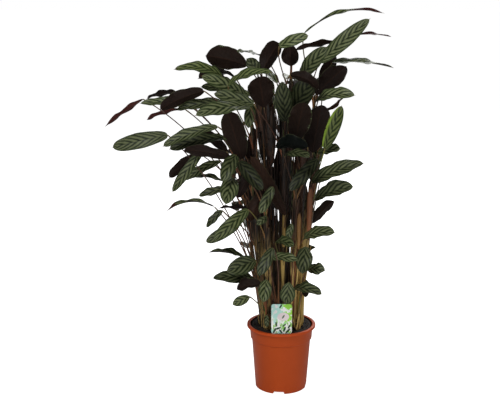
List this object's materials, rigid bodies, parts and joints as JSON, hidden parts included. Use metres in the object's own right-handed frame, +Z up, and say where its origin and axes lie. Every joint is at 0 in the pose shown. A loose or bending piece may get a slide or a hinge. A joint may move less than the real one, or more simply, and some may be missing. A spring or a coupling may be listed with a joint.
{
  "type": "potted prayer plant",
  "caption": "Tall clumping prayer plant with herringbone-patterned leaves on cane-like stems, standing in a terracotta-coloured plastic nursery pot with soil and a plant tag.",
  "frame": {"origin": "centre of the pot's base, on the surface that it stands on", "axes": "+Z up along the pot's axis, -Y towards the side with the plant tag, +X to the right of that side"},
  "size_m": [0.8569, 0.7479, 1.1617],
  "materials": {
    "pot_plastic": "satin",
    "soil": "rough",
    "tag_plastic": "gloss",
    "foliage": "satin"
  },
  "bodies": {
    "root": {"pot": "pot_plastic", "soil": "soil", "plant_tag": "tag_plastic", "stem_right_1": "foliage", "stem_right_2": "foliage", "stem_right_3": "foliage", "stem_right_4": "foliage", "stem_right_5": "foliage", "stem_middle_1": "foliage", "stem_middle_2": "foliage", "stem_middle_3": "foliage", "stem_middle_4": "foliage", "stem_middle_5": "foliage", "stem_left_1": "foliage", "stem_left_2": "foliage", "stem_left_3": "foliage", "stem_left_4": "foliage", "stem_left_5": "foliage", "stem_back_1": "foliage", "stem_back_2": "foliage", "stem_back_3": "foliage", "stem_back_4": "foliage", "tuft_left": "foliage", "tuft_front_left": "foliage", "tuft_front": "foliage", "tuft_front_right": "foliage", "tuft_right": "foliage", "tuft_back": "foliage"}
  },
  "joints": []
}
